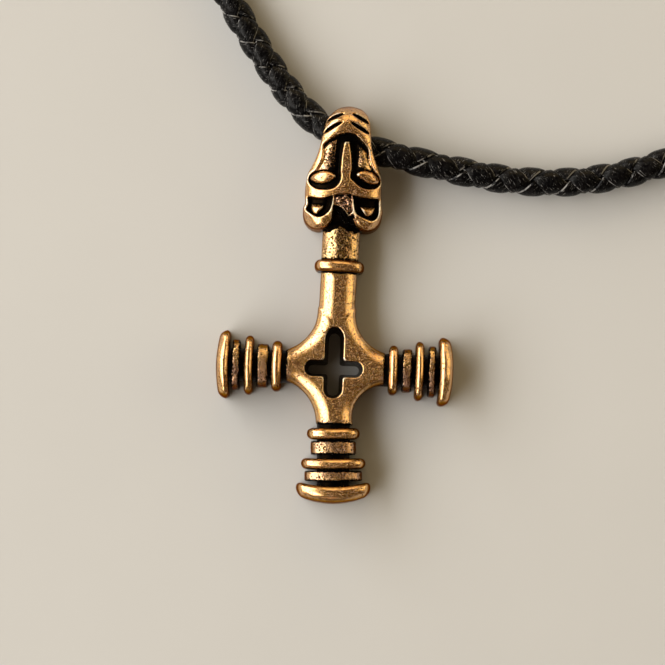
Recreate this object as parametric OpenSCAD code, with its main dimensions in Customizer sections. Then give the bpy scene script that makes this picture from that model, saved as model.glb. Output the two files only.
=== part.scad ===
// Hammer amulet with a wolf's head bail, on a braided cord with a plain barrel clasp.
// Millimetres. The amulet lies on its flat back, front up: +Z is out of its front, +Y runs
// from the crossing of the arms to the head, and the origin is on the back at that crossing.

/* [Body] */
// Width of the stem between the collar and the plate
stem_w = 4.7; // [4.3:0.1:5]
// Width of the neck between the collar and the head
neck_w = 4.85; // [4.4:0.05:5]
// Height of the stem, the neck and the plate above the flat back
body_h = 4.65; // [4.4:0.05:4.9]
// Radius of the rounded shoulder along the front edges of the stem and the plate
shoulder_r = 1.5; // [0.8:0.1:1.7]
// Width of the cross-shaped opening's upright slot
hole_w = 2.5; // [2:0.1:2.8]
// Width of the opening's cross slot
hole_bar_w = 2.15; // [1.8:0.05:2.5]
// Reach of the opening towards the head
hole_up = 5.45; // [4.5:0.05:5.8]
// Reach of the opening towards the foot
hole_down = 3.85; // [3.2:0.05:4.2]
// Reach of the opening towards each side arm
hole_side = 3.8; // [3:0.1:4]
// How much each wall of the opening comes in from the front to the back
hole_taper = 0.5; // [0:0.05:0.55]

/* [Arms] */
// Height of the axis of the round core of each arm above the flat back
core_h = 2.1; // [2:0.05:2.3]
// Radius of the core that shows as a groove between the rings
core_r = 2.15; // [1.8:0.05:2.2]
// Height of a ring's front above the back: this much, and a share of the ring's half width
ring_h = 3.75; // [3.6:0.05:3.9]
ring_h_share = 0.46; // [0.4:0.02:0.5]
// Radius of the crowned front of a ring, as a multiple of the ring's half width
crown_share = 1.5; // [1.4:0.05:1.7]
// Rounding of the rings' edges
ring_round = 0.4; // [0.3:0.05:0.55]
// Rounding of the rough drums' edges
drum_round = 0.2; // [0.1:0.05:0.3]
// Bulge of the end face of a side arm
side_dome = 0.35; // [0.2:0.05:0.6]
// Bulge of the end face of the foot
foot_dome = 0.45; // [0.3:0.05:0.9]

/* [Head] */
// Height of the head's front along its middle
head_h = 6.8; // [6.6:0.1:7.2]
// Radius of the head's front across its width
crown_r = 8; // [7.5:0.1:9]
// Width of the snout
snout_w = 6.15; // [5.8:0.05:6.4]
// Depth of the face beside the nose, below the crown
face_depth = 0.75; // [0.4:0.05:0.8]
// Depth of the hollows of the ears, below the crown
ear_depth = 1.2; // [0.8:0.1:1.6]
// Height of the opening under the snout that the cord runs through
bail_h = 4.3; // [4.2:0.05:4.4]
// Thickness of the jaw under the cord
jaw_t = 0.8; // [0.7:0.05:0.8]

/* [Cord] */
// Diameter of the braided cord
cord_d = 3.8; // [3.6:0.1:3.9]

/* [Clasp] */
// Diameter of the clasp's barrel
clasp_d = 6; // [5.4:0.1:6]
// Length of the clasp's barrel
clasp_l = 20; // [18:1:24]
// Diameter of the pockets that hold the cord's ends
pocket_d = 4.2; // [4.1:0.05:4.4]

/* [Hidden] */

$fn = 64;
side_fn = 32;
over = 1;
far = 60;

// The casting is not quite straight: the head leans one way and the foot the other
head_lean = 1.15;
foot_lean = 1.98;
arm_axis_y = 0.15;

// Rings and drums of each arm: columns are start, end and half width, outward from the crossing
LEFT_ROWS = [[6.8, 8.1, 3.3], [8.52, 9.95, 2.8], [10.5, 11.65, 3.85],
             [12.25, 13.22, 3.25], [13.62, 15, 4.45]];
RIGHT_ROWS = [[7.2, 8.4, 3.25], [8.97, 10.16, 2.8], [10.63, 11.75, 3.85],
              [12.36, 13.26, 3.3], [13.72, 15.3, 4.5]];
FOOT_ROWS = [[7.72, 9.17, 3.45], [9.4, 11.1, 2.95], [11.65, 13.05, 4.2],
             [13.35, 14.6, 3.75], [15.05, 17.1, 4.85]];
core_overlap = 2;

// Round hollows of the plate's outline between the arms: columns are x, y and radius
FLARES = [[-8, 7.85, 5.8], [8, 7.6, 5.45], [-7.9, -7.25, 5.85], [6.9, -6.05, 4.25]];
plate_left = -6.2;
plate_right = 6.7;
plate_top = 7.8;
plate_foot = -7.2;

// Stations of the upright along +Y
stem_from = 7;
collar_from = 12.63;
collar_to = 14.17;
collar_half = 3.25;
collar_middle = (collar_from + collar_to) / 2;
collar_overlap = 0.1;
head_from = 18.6;
tip_y = 31.42;
roll_r = 3.6;
roll_y = 31;
roll_z = 3.2;
bail_from = 26.1;
bail_to = 33.7;
slit_depth = 1.2;
valley_depth = 1.6;

// Eyes: columns are x, y, width, height and turn; they stand a little below the crown
EYES = [[-2.83, 25.1, 3.3, 1.4, 0], [3.1, 25.2, 2.9, 1.45, -14]];
eye_drop = 0.2;

// Half-round pips in the hollows of the ears: columns are x, y and radius
PIPS = [[-3.4, 21.3, 0.9], [3.4, 21.2, 0.95]];
pip_drop = 0.55;

// Half of the head's outline, from the ears to the snout: columns are x and y
HALF_HEAD = [[0, 18.6], [3.2, 18.4], [5.1, 20.3], [4.95, 24], [4.65, 25.5], [3.9, 27.1], [3.3, 28.7],
             [snout_w / 2, 30], [snout_w / 2, tip_y], [0, tip_y]];
ear_r = 2.05;
ear_x = 3.1;
ear_y = 20;

// The face on each side of the nose, from the arch under the snout round the eye and back up the nose
LEFT_FACE = [[-0.05, 31], [-1.6, 30.4], [-2.95, 29.4], [-6, 28.6], [-6, 25.4], [-4.7, 25], [-4.28, 24.26],
             [-3.5, 23.77], [-2.5, 23.66], [-1.55, 23.7], [-0.9, 24.24], [-0.48, 24.9], [-0.52, 26.1],
             [-0.45, 28], [-0.38, 29.7], [-0.05, 30]];
RIGHT_FACE = [[-0.05, 31], [1.7, 30.3], [3.2, 28.9], [6, 28], [6, 24.6], [4.6, 24.1], [4, 23.88],
              [3.26, 23.8], [2.5, 23.9], [1.74, 24.2], [1.19, 24.62], [0.85, 25.2], [0.92, 26.1],
              [0.75, 28], [0.5, 29.7], [-0.05, 30]];
// Slits across the snout: columns are inner x and y, and outer x and y
SLITS = [[-0.55, 33.6, -2.75, 32.55], [0.58, 33.65, 2.85, 32.45], [-0.6, 32.6, -2.95, 31.1],
         [0.3, 32.6, 3, 31.05]];
slit_w = 0.55;
// Hollows of the ears, and the valley between the ears down to the neck
LEFT_HOLLOW = [[-4.57, 22.5], [-4.7, 21.25], [-4.85, 20.8], [-4.7, 20.25], [-4, 19.9], [-3, 19.8],
               [-2.25, 20.05], [-1.7, 20.75], [-1.5, 21.5], [-1.6, 22.35]];
RIGHT_HOLLOW = [[1.5, 22.5], [1.35, 21.5], [1.65, 20.5], [2.4, 20.1], [3.3, 20], [4, 19.7], [4.6, 19.8],
                [4.85, 20.5], [4.85, 21.6], [4.75, 22.3]];
VALLEY = [[0.5, 23.1], [-1.2, 22.3], [-1.25, 20.4], [-1.9, 19.2], [-2.6, 18.2], [-2.6, 17], [2.6, 17],
          [2.55, 18.4], [1.65, 19.4], [1.2, 20.3], [1.15, 22.3]];

// Route of the cord from one end in the clasp, down through the snout and back up to its other
// end: columns are x, y and the lift of the cord above the surface that it lies on
ROUTE = [[84, 187, 1.1], [79.6, 190.3, 1.1], [73.2, 195.1, 1.1], [65, 198.8, 0.7], [52, 201.2, 0.1],
         [36, 200, 0], [20.5, 195, 0], [6, 187, 0], [-7, 176.5, 0], [-17.5, 163.5, 0],
         [-25.5, 149, 0], [-30.5, 133, 0], [-33, 116.5, 0], [-32.5, 100, 0], [-29.5, 83.5, 0],
         [-24.5, 67.5, 0], [-17.6, 52, 0], [-10.4, 40.3, 0.2], [-4.8, 33.5, 0.85], [0.6, 29.9, 1.05],
         [6.8, 28.3, 0.85], [15, 26.7, 0.2], [24, 25.6, 0], [33, 26.15, 0], [43, 28.95, 0],
         [58, 35.1, 0], [72, 42.8, 0], [85, 52.8, 0], [96.5, 64.8, 0], [106, 78.5, 0],
         [113, 93.5, 0], [117.5, 109.5, 0], [119.5, 126, 0], [118.5, 142.5, 0], [114, 157, 0.1],
         [108.5, 166.5, 0.7], [102.8, 172.9, 1.1], [96.4, 177.7, 1.1], [92, 181, 1.1]];
steps_between = 2;
cord_sides = 8;
clasp_lift = 1.1;
clasp_at = [88, 184];
clasp_turn = atan2(3, -4);
pocket_floor = 4.8;
clasp_edge = 0.6;

// Point on the smooth curve through the route, at place k and a part t of the way to the next point
function near(k) = ROUTE[max(0, min(len(ROUTE) - 1, k))];
function route_at(k, t) =
    let (a = near(k - 1), b = near(k), c = near(k + 1), d = near(k + 2))
    0.5 * (2 * b + (c - a) * t + (2 * a - 5 * b + 4 * c - d) * t * t + (3 * b - a - 3 * c + d) * t * t * t);
function on_floor(p) = [p[0], p[1], max(0, p[2]) + cord_d / 2];
PATH = [for (i = [0 : (len(ROUTE) - 1) * steps_between])
    on_floor(route_at(floor(i / steps_between), (i % steps_between) / steps_between))];

function unit(v) = v / norm(v);
function heading(i) = unit(PATH[min(len(PATH) - 1, i + 1)] - PATH[max(0, i - 1)]);
function across(i) = unit(cross(heading(i), [0, 0, 1]));
function cord_ring(i) = [for (s = [0 : cord_sides - 1])
    let (a = s * 360 / cord_sides)
    PATH[i] + cord_d / 2 * (cos(a) * across(i) + sin(a) * cross(across(i), heading(i)))];

// Quarter round of radius r from angle a0 to a1 about [x, y]
quarter_steps = 4;
function arc(x, y, r, a0, a1) = [for (i = [0 : quarter_steps])
    let (a = a0 + (a1 - a0) * i / quarter_steps) [x + r * cos(a), y + r * sin(a)]];

// Section of a bar with rounded front edges and a flat back, from its width and its height
function bar_section(w, h, r) = concat([[-w / 2, 0], [w / 2, 0]],
    arc(w / 2 - r, h - r, r, 0, 90), arc(r - w / 2, h - r, r, 90, 180));

// A bar along +Y, from one station to the next
module bar(w, from, to) {
    translate([0, to, 0])
        rotate([90, 0, 0])
            linear_extrude(to - from)
                polygon(bar_section(w, body_h, shoulder_r));
}

// A turned ring about the Z axis, with round edges and a bulge on its outer face
module turned(row, edge, bulge = 0) {
    reach = row[2] - edge;
    outer = arc(reach, row[1] - edge, edge, 0, 90);
    inner = arc(reach, row[0] + edge, edge, -90, 0);
    dome = [for (i = [1 : quarter_steps])
        let (a = i * 90 / quarter_steps) [reach * cos(a), row[1] + bulge * sin(a)]];
    rotate_extrude()
        polygon(concat([[0, row[0]]], inner, outer, bulge > 0 ? dome : [[0, row[1]]]));
}

// A ring or drum across +Y: upright sides and a crowned front
module ring(row, edge, bulge = 0) {
    half = row[2];
    crown_r = half * crown_share;
    top = ring_h + half * ring_h_share;
    intersection() {
        translate([0, 0, top - crown_r])
            rotate([-90, 0, 0])
                turned([row[0], row[1], crown_r], edge, bulge);
        translate([-half, row[0] - over, 0])
            cube([2 * half, row[1] - row[0] + bulge + 2 * over, top + over]);
    }
}

// One arm along +Y: its core, its rings and its rough drums
module arm(rows, bulge) {
    last = len(rows) - 1;
    from = rows[0][0] - core_overlap;
    translate([0, from, core_h])
        rotate([-90, 0, 0])
            cylinder(r = core_r, h = rows[last][0] - from + ring_round);
    for (i = [0 : last])
        ring(rows[i], i % 2 == 0 ? ring_round : drum_round, i == last ? bulge : 0);
}

// Cuts one round hollow of the plate's outline, with the shoulder along its front edge
module flare(row) {
    r = row[2];
    shoulder = [for (i = [0 : quarter_steps])
        let (a = i * 90 / quarter_steps)
        [r + shoulder_r * (1 - cos(a)), body_h - shoulder_r * (1 - sin(a))]];
    above = [[r + shoulder_r, body_h + over], [0, body_h + over]];
    translate([row[0], row[1], 0])
        rotate_extrude()
            polygon(concat([[0, -over], [r, -over]], shoulder, above));
}

// One slot of the opening, through the plate and narrower at the back, with round ends
module slot(length_a, length_b, w) {
    beyond = over * hole_taper / body_h;
    front = w / 2 + beyond;
    back = w / 2 - hole_taper - beyond;
    low = w / 2 - length_b;
    high = length_a - w / 2;
    for (y = [low, high])
        translate([0, y, -over])
            cylinder(r1 = back, r2 = front, h = body_h + 2 * over);
    translate([0, high, 0])
        rotate([90, 0, 0])
            linear_extrude(high - low)
                polygon([[-back, -over], [back, -over], [front, body_h + over], [-front, body_h + over]]);
}

// The plate where the arms cross, with its cross-shaped opening
module plate() {
    difference() {
        translate([plate_left, plate_foot, 0])
            cube([plate_right - plate_left, plate_top - plate_foot, body_h]);
        for (row = FLARES)
            flare(row);
        slot(hole_up, hole_down, hole_w);
        rotate([0, 0, 90])
            slot(hole_side, hole_side, hole_bar_w);
    }
}

// The space under the head's front, a given depth below its crown
module under_crown(depth) {
    translate([0, far, head_h - crown_r])
        rotate([90, 0, 0])
            cylinder(r = crown_r - depth, h = far);
}

// Sinks a flat outline into the head's front to a given depth
module sunk(depth) {
    difference() {
        linear_extrude(head_h + over)
            children();
        under_crown(depth);
    }
}

// Raises a flat outline out of the head, up to a given drop below its crown
module raised(drop) {
    intersection() {
        linear_extrude(head_h + over)
            children();
        under_crown(drop);
    }
}

module slit(row) {
    mid = [(row[0] + row[2]) / 2, (row[1] + row[3]) / 2];
    along = unit([row[2] - row[0], row[3] - row[1]]);
    side = [-along[1], along[0]] * slit_w / 2;
    polygon([[row[0], row[1]], mid + side, [row[2], row[3]], mid - side]);
}

// An almond between two arcs, w long and h high
module almond(w, h) {
    r = (w * w / 4 + h * h / 4) / h;
    intersection() {
        translate([0, r - h / 2])
            circle(r);
        translate([0, h / 2 - r])
            circle(r);
    }
}

module half_disc(r) {
    difference() {
        circle(r);
        translate([-r - over, 0])
            square([2 * r + 2 * over, r + over]);
    }
}

module head_blank() {
    raised(0) {
        polygon(HALF_HEAD);
        mirror([1, 0])
            polygon(HALF_HEAD);
        translate([0, tip_y])
            circle(snout_w / 2);
        for (x = [-ear_x, ear_x])
            translate([x, ear_y])
                circle(ear_r);
    }
}

// Rounds the snout down towards its tip
module tip_roll() {
    difference() {
        translate([-snout_w, roll_y, roll_z])
            cube([2 * snout_w, 2 * roll_r, 2 * roll_r]);
        translate([-far / 2, roll_y, roll_z])
            rotate([0, 90, 0])
                cylinder(r = roll_r, h = far);
    }
}

// The way through the snout, from side to side, that the cord runs through
module bail_way() {
    r = bail_h / 2;
    translate([-far / 2, 0, jaw_t + r])
        rotate([0, 90, 0]) {
            for (y = [bail_from + r, bail_to - r])
                translate([0, y, 0])
                    cylinder(r = r, h = far);
            translate([-r, bail_from + r, 0])
                cube([bail_h, bail_to - bail_from - bail_h, far]);
        }
}

module head() {
    difference() {
        head_blank();
        tip_roll();
        bail_way();
        sunk(face_depth)
            polygon(LEFT_FACE);
        sunk(face_depth)
            polygon(RIGHT_FACE);
        for (row = SLITS)
            sunk(slit_depth)
                slit(row);
        sunk(ear_depth)
            polygon(LEFT_HOLLOW);
        sunk(ear_depth)
            polygon(RIGHT_HOLLOW);
        sunk(valley_depth)
            polygon(VALLEY);
    }
    for (eye = EYES)
        raised(eye_drop)
            translate([eye[0], eye[1]])
                rotate(eye[4])
                    almond(eye[2], eye[3]);
    for (pip = PIPS)
        raised(pip_drop)
            translate([pip[0], pip[1]])
                half_disc(pip[2]);
}

// The upright above the plate: stem, collar, neck and head
module upright() {
    rotate([0, 0, -head_lean]) {
        bar(stem_w, stem_from, collar_middle + collar_overlap);
        bar(neck_w, collar_middle - collar_overlap, head_from);
        ring([collar_from, collar_to, collar_half], ring_round);
        head();
    }
}

module amulet() {
    color("darkgoldenrod")
        intersection() {
            union() {
                plate();
                upright();
                translate([0, arm_axis_y, 0]) {
                    rotate([0, 0, 90])
                        arm(LEFT_ROWS, side_dome);
                    rotate([0, 0, -90])
                        arm(RIGHT_ROWS, side_dome);
                }
                rotate([0, 0, 180 + foot_lean])
                    arm(FOOT_ROWS, foot_dome);
            }
            translate([-far / 2, -far / 2, 0])
                cube([far, 2 * far, far]);
        }
}

module braided_cord() {
    n = len(PATH);
    points = [for (i = [0 : n - 1]) each cord_ring(i)];
    sides = [for (i = [0 : n - 2], s = [0 : cord_sides - 1])
        let (t = (s + 1) % cord_sides, a = i * cord_sides)
        [a + s, a + cord_sides + s, a + cord_sides + t, a + t]];
    start = [[for (s = [0 : cord_sides - 1]) s]];
    finish = [[for (s = [cord_sides - 1 : -1 : 0]) (n - 1) * cord_sides + s]];
    color([0.09, 0.09, 0.1])
        polyhedron(points, concat(start, sides, finish), convexity = 10);
}

module clasp() {
    r = clasp_d / 2;
    half = clasp_l / 2;
    flat = r - clasp_edge;
    side = half - clasp_edge;
    color("darkgoldenrod")
        translate([clasp_at[0], clasp_at[1], cord_d / 2 + clasp_lift])
            rotate([0, 90, clasp_turn])
                difference() {
                    rotate_extrude()
                        polygon([[0, -half], [flat, -half], [r, -side], [r, side],
                                 [flat, half], [0, half]]);
                    for (turn = [0, 180])
                        rotate([turn, 0, 0])
                            translate([0, 0, pocket_floor])
                                cylinder(d = pocket_d, h = half);
                }
}

amulet();
braided_cord();
clasp();
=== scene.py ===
"""Looks of the hammer amulet on its braided leather cord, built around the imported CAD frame.

Shapes are worked out in millimetres in the CAD frame and become metres when a mesh is made.
The amulet is a signed distance field (negative inside the metal) turned into a mesh, the
cord is four flat leather strands braided round, and the clasp is a turned barrel.
"""
import math

import bpy
import numpy as np
from mathutils import Matrix, Vector


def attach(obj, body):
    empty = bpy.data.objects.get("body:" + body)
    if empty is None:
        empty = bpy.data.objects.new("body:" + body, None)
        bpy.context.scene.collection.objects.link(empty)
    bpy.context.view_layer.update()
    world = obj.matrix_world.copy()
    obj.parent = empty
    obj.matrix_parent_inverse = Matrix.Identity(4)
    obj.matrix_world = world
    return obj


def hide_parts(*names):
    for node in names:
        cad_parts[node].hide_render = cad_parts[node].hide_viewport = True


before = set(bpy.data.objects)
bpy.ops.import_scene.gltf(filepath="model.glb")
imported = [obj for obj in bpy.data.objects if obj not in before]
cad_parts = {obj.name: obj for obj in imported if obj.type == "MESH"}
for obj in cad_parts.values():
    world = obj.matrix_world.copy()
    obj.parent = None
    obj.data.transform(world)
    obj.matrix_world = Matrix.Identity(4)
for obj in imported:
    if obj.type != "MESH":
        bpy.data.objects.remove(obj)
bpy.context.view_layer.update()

MM = 0.001
SEED = 20
MOST_TRIANGLES = 195000

scene = bpy.context.scene


# Camera: square above the amulet, turned and slightly tipped as in the photograph
CAMERA_TARGET = (-0.31, 4.83, 2.0)
CAMERA_UP = (-0.0375, 0.9993, 0.0)
CAMERA_DISTANCE = 400.0
CAMERA_TILT = 3.0
SENSOR_WIDTH = 36.0
FRAME_WIDTH = 86.95


def place(obj, at, target, up):
    """Puts an object at a point and turns its -Z axis to the target; all in millimetres."""
    back = (Vector(at) - Vector(target)).normalized()
    right = Vector(up).cross(back).normalized()
    turn = Matrix((right, back.cross(right), back)).transposed().to_4x4()
    obj.matrix_world = Matrix.Translation(Vector(at) * MM) @ turn


def add_object(name, data):
    obj = bpy.data.objects.new(name, data)
    scene.collection.objects.link(obj)
    return obj


def make_camera():
    data = bpy.data.cameras.new("camera")
    data.sensor_width = SENSOR_WIDTH
    data.lens = SENSOR_WIDTH * CAMERA_DISTANCE / FRAME_WIDTH
    data.clip_start = 0.01
    data.clip_end = 20.0
    camera = add_object("camera", data)
    tilt = math.radians(CAMERA_TILT)
    away = Vector((0, 0, math.cos(tilt))) - Vector(CAMERA_UP) * math.sin(tilt)
    place(camera, Vector(CAMERA_TARGET) + away * CAMERA_DISTANCE, CAMERA_TARGET, CAMERA_UP)
    scene.camera = camera


# Meshes
def make_mesh(name, points, quads):
    """An object from points in millimetres and quads between them."""
    data = bpy.data.meshes.new(name)
    corners = np.asarray(quads, np.int32).ravel()
    data.vertices.add(len(points))
    data.vertices.foreach_set("co", (np.asarray(points, np.float64) * MM).astype(np.float32).ravel())
    data.loops.add(len(corners))
    data.loops.foreach_set("vertex_index", corners)
    data.polygons.add(len(quads))
    data.polygons.foreach_set("loop_start", np.arange(0, len(corners), 4, dtype=np.int32))
    data.update(calc_edges=True)
    data.validate()
    data.shade_smooth()
    return add_object(name, data)


def add_attribute(obj, name, values):
    """A value or a vector for each point of the mesh, read by its material."""
    values = np.asarray(values, np.float32)
    kind, field = ("FLOAT_VECTOR", "vector") if values.ndim == 2 else ("FLOAT", "value")
    attribute = obj.data.attributes.new(name, kind, "POINT")
    attribute.data.foreach_set(field, values.ravel())


# Material nodes
class Nodes:
    """Builds a material's nodes; a socket or a number may be given for each input."""

    def __init__(self, name):
        self.material = bpy.data.materials.new(name)
        self.material.use_nodes = True
        self.tree = self.material.node_tree
        self.shader = self.tree.nodes["Principled BSDF"]

    def add(self, kind, inputs=None, **settings):
        node = self.tree.nodes.new(kind)
        for key, value in settings.items():
            setattr(node, key, value)
        for key, value in (inputs or {}).items():
            self.put(node.inputs[key], value)
        return node

    def put(self, socket, value):
        if isinstance(value, bpy.types.NodeSocket):
            self.tree.links.new(value, socket)
        else:
            socket.default_value = value

    def set(self, **values):
        for key, value in values.items():
            self.put(self.shader.inputs[key.replace("_", " ")], value)

    def math(self, operation, a, b=0.0):
        return self.add("ShaderNodeMath", {0: a, 1: b}, operation=operation).outputs[0]

    def times(self, a, b):
        return self.math("MULTIPLY", a, b)

    def most(self, a, b):
        return self.math("MAXIMUM", a, b)

    def attribute(self, name, output="Fac"):
        return self.add("ShaderNodeAttribute", attribute_name=name).outputs[output]

    def noise(self, vector, scale, detail=3.0, roughness=0.55):
        inputs = {"Vector": vector, "Scale": scale, "Detail": detail, "Roughness": roughness}
        return self.add("ShaderNodeTexNoise", inputs).outputs["Fac"]

    def cells(self, vector, scale):
        return self.add("ShaderNodeTexVoronoi", {"Vector": vector, "Scale": scale}).outputs["Distance"]

    def stretch(self, vector, scale):
        return self.add("ShaderNodeMapping", {"Vector": vector, "Scale": scale}).outputs[0]

    def ramp(self, value, low, high, to_low=0.0, to_high=1.0, smooth=True):
        inputs = {"Value": value, "From Min": low, "From Max": high, "To Min": to_low, "To Max": to_high}
        kind = "SMOOTHSTEP" if smooth else "LINEAR"
        return self.add("ShaderNodeMapRange", inputs, interpolation_type=kind).outputs[0]

    def mix(self, share, a, b):
        return self.add("ShaderNodeMix", {0: share, 6: a, 7: b}, data_type="RGBA").outputs[2]

    def between(self, share, a, b):
        return self.add("ShaderNodeMix", {0: share, 2: a, 3: b}, data_type="FLOAT").outputs[0]

    def bump(self, height, distance, strength):
        inputs = {"Height": height, "Distance": distance, "Strength": strength}
        return self.add("ShaderNodeBump", inputs).outputs[0]


# Cord: the route's points from the solid model, with columns x, y and lift above the surface
ROUTE = [
    (84, 187, 1.1), (79.6, 190.3, 1.1), (73.2, 195.1, 1.1), (65, 198.8, 0.7), (52, 201.2, 0.1),
    (36, 200, 0), (20.5, 195, 0), (6, 187, 0), (-7, 176.5, 0), (-17.5, 163.5, 0), (-25.5, 149, 0),
    (-30.5, 133, 0), (-33, 116.5, 0), (-32.5, 100, 0), (-29.5, 83.5, 0), (-24.5, 67.5, 0), (-17.6, 52, 0),
    (-10.4, 40.3, 0.2), (-4.8, 33.5, 0.85), (0.6, 29.9, 1.05), (6.8, 28.3, 0.85), (15, 26.7, 0.2),
    (24, 25.6, 0), (33, 26.15, 0), (43, 28.95, 0), (58, 35.1, 0), (72, 42.8, 0), (85, 52.8, 0),
    (96.5, 64.8, 0), (106, 78.5, 0), (113, 93.5, 0), (117.5, 109.5, 0), (119.5, 126, 0),
    (118.5, 142.5, 0), (114, 157, 0.1), (108.5, 166.5, 0.7), (102.8, 172.9, 1.1), (96.4, 177.7, 1.1),
    (92, 181, 1.1),
]
CORD_RADIUS = 1.9

# Braid: how many strands have passed over the top of the cord, by length along it
BRAID = [
    (0, 0), (244.6, 57), (248.4, 58), (252.4, 59), (255.9, 60), (271.8, 63), (277.6, 64), (282.8, 65),
    (287, 66), (291.8, 67), (296.3, 68), (300.7, 69), (304.7, 70), (504.7, 116.5),
]
STRAND_TOP = 1.98
STRAND_THICKNESS = 0.95
STRAND_WAVE = 0.3
STRAND_MIDDLE = STRAND_TOP - STRAND_WAVE - STRAND_THICKNESS / 2
STRAND_SHARE = 0.93
RIM_AT = 0.84
RIM_WIDTH = 0.08
RIM_RISE = 0.12
SECTION_STEP = 0.3
CORE_RADIUS = 0.95
BRAID_EASE = 11

# Half of a strand's outline: places across it, from its middle to its edge
STRAND_OUTSIDE = [0.18, 0.5, 0.68, 0.77, 0.84, 0.9, 0.95, 0.99]
STRAND_INSIDE = [0.2, 0.55, 0.85, 0.96]


def catmull_rom(points, parts):
    """Points on the smooth curve through a row of points, its first and last points held."""
    points = np.asarray(points, float)
    held = np.vstack([points[:1], points, points[-1:]])
    a, b, c, d = held[:-3, None], held[1:-2, None], held[2:-1, None], held[3:, None]
    t = (np.arange(parts) / parts)[None, :, None]
    curve = b + 0.5 * ((c - a) * t + (2 * a - 5 * b + 4 * c - d) * t ** 2 + (3 * b - a - 3 * c + d) * t ** 3)
    return np.vstack([curve.reshape(-1, points.shape[1]), points[-1:]])


def unit(vectors):
    return vectors / np.linalg.norm(vectors, axis=-1, keepdims=True)


def cord_line():
    """The cord's middle line: length along it, points, and the ways along, to the right and up."""
    points = catmull_rom(ROUTE, 60)
    points[:, 2] = np.maximum(0, points[:, 2]) + CORD_RADIUS
    length = np.concatenate([[0], np.cumsum(np.linalg.norm(np.diff(points, axis=0), axis=1))])
    at = np.linspace(0, length[-1], int(length[-1] / SECTION_STEP) + 1)
    points = np.column_stack([np.interp(at, length, points[:, k]) for k in range(3)])
    along = unit(np.gradient(points, axis=0))
    right = unit(np.cross(along, (0, 0, 1)))
    return at, points, along, right, np.cross(right, along)


def strand_section():
    """Outline of a flat strand with a rim along each edge: across it from -1 to 1, and out of its middle."""
    halves = (STRAND_OUTSIDE, STRAND_INSIDE)
    outside, inside = (np.array([-at for at in half[::-1]] + half) for half in halves)
    rim = RIM_RISE * np.exp(-((np.abs(outside) - RIM_AT) / RIM_WIDTH) ** 2)
    top = (1 - np.abs(outside) ** 2.8) ** 0.6 * (1 - RIM_RISE) + rim
    across = np.concatenate([inside, outside[::-1]])
    out = np.concatenate([-(1 - inside ** 4) ** 0.5, top[::-1]])
    return across, out * STRAND_THICKNESS / 2


def braid_strand(line, turn, way, start):
    """One strand, as wide as the braid leaves room for: its points, and where each is on the strand."""
    length, points, along, right, up = line
    lean = np.arctan(np.gradient(turn, length) * STRAND_MIDDLE)
    run = np.concatenate([[0], np.cumsum(np.diff(length) / np.cos(lean[1:]))])
    lean, centre = lean[:, None], (way * turn + start)[:, None]
    level = STRAND_MIDDLE + way * STRAND_WAVE * np.sin(math.pi / 2 * np.cos(2 * centre))
    share, out = strand_section()
    across = share * (STRAND_SHARE * math.pi / 2 * STRAND_MIDDLE * np.cos(lean))
    angle = centre + way * across * np.cos(lean) / STRAND_MIDDLE
    back = -across * np.sin(lean)
    radius = level + out
    spot = points[:, None] + along[:, None] * back[..., None]
    spot = spot + right[:, None] * (radius * np.sin(angle))[..., None]
    spot = spot + up[:, None] * (radius * np.cos(angle))[..., None]
    pattern = 7.0 * start + 3.0 * way
    return spot, np.stack(np.broadcast_arrays(share, run[:, None], pattern), axis=-1)


def braid_core(line):
    """The round core that the strands are braided over."""
    _, points, _, right, up = (part[::4] for part in line)
    angle = np.linspace(0, 2 * math.pi, 12, endpoint=False)
    spot = points[:, None] + CORE_RADIUS * np.sin(angle)[:, None] * right[:, None]
    spot = spot + CORE_RADIUS * np.cos(angle)[:, None] * up[:, None]
    return spot, np.zeros(spot.shape)


def tube_faces(rows, columns):
    """Quads of a closed tube of rings, with its two ends closed by quads as well."""
    index = np.arange(rows * columns).reshape(rows, columns)
    turned = np.roll(index, -1, axis=1)
    sides = np.stack([index[:-1], index[1:], turned[1:], turned[:-1]], axis=-1).reshape(-1, 4)
    ends = []
    for ring, order in ((index[0], 1), (index[-1], -1)):
        for k in range(columns // 2 - 1):
            ends.append([ring[k], ring[k + 1], ring[-k - 2], ring[-k - 1]][::order])
    return np.vstack([sides, ends])


def make_cord():
    """Two pieces: the strands that turn one way round the cord, and those that turn the other way."""
    line = cord_line()
    length = line[0]
    table = np.array(BRAID, float)
    passed = np.interp(length, table[:, 0], table[:, 1])
    kernel = np.hanning(2 * BRAID_EASE + 1)
    passed = np.pad(passed, BRAID_EASE, mode="reflect", reflect_type="odd")
    passed = np.convolve(passed, kernel / kernel.sum(), mode="valid")
    finish = leather()
    braids = []
    for name, way in (("braid_right", 1), ("braid_left", -1)):
        spots, places, faces = [], [], []
        tubes = [braid_strand(line, math.pi * passed, way, start) for start in (0.0, math.pi)]
        if way > 0:
            tubes.append(braid_core(line))
        for spot, place_on in tubes:
            faces.append(tube_faces(*spot.shape[:2])[:, ::-way] + sum(len(s) for s in spots))
            spots.append(spot.reshape(-1, 3))
            places.append(place_on.reshape(-1, 3))
        obj = make_mesh(name, np.vstack(spots), np.vstack(faces))
        add_attribute(obj, "strand", np.vstack(places))
        obj.data.materials.append(finish)
        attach(obj, "root")
        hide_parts("braided_cord")
        braids.append(obj)
    return line, braids


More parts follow.
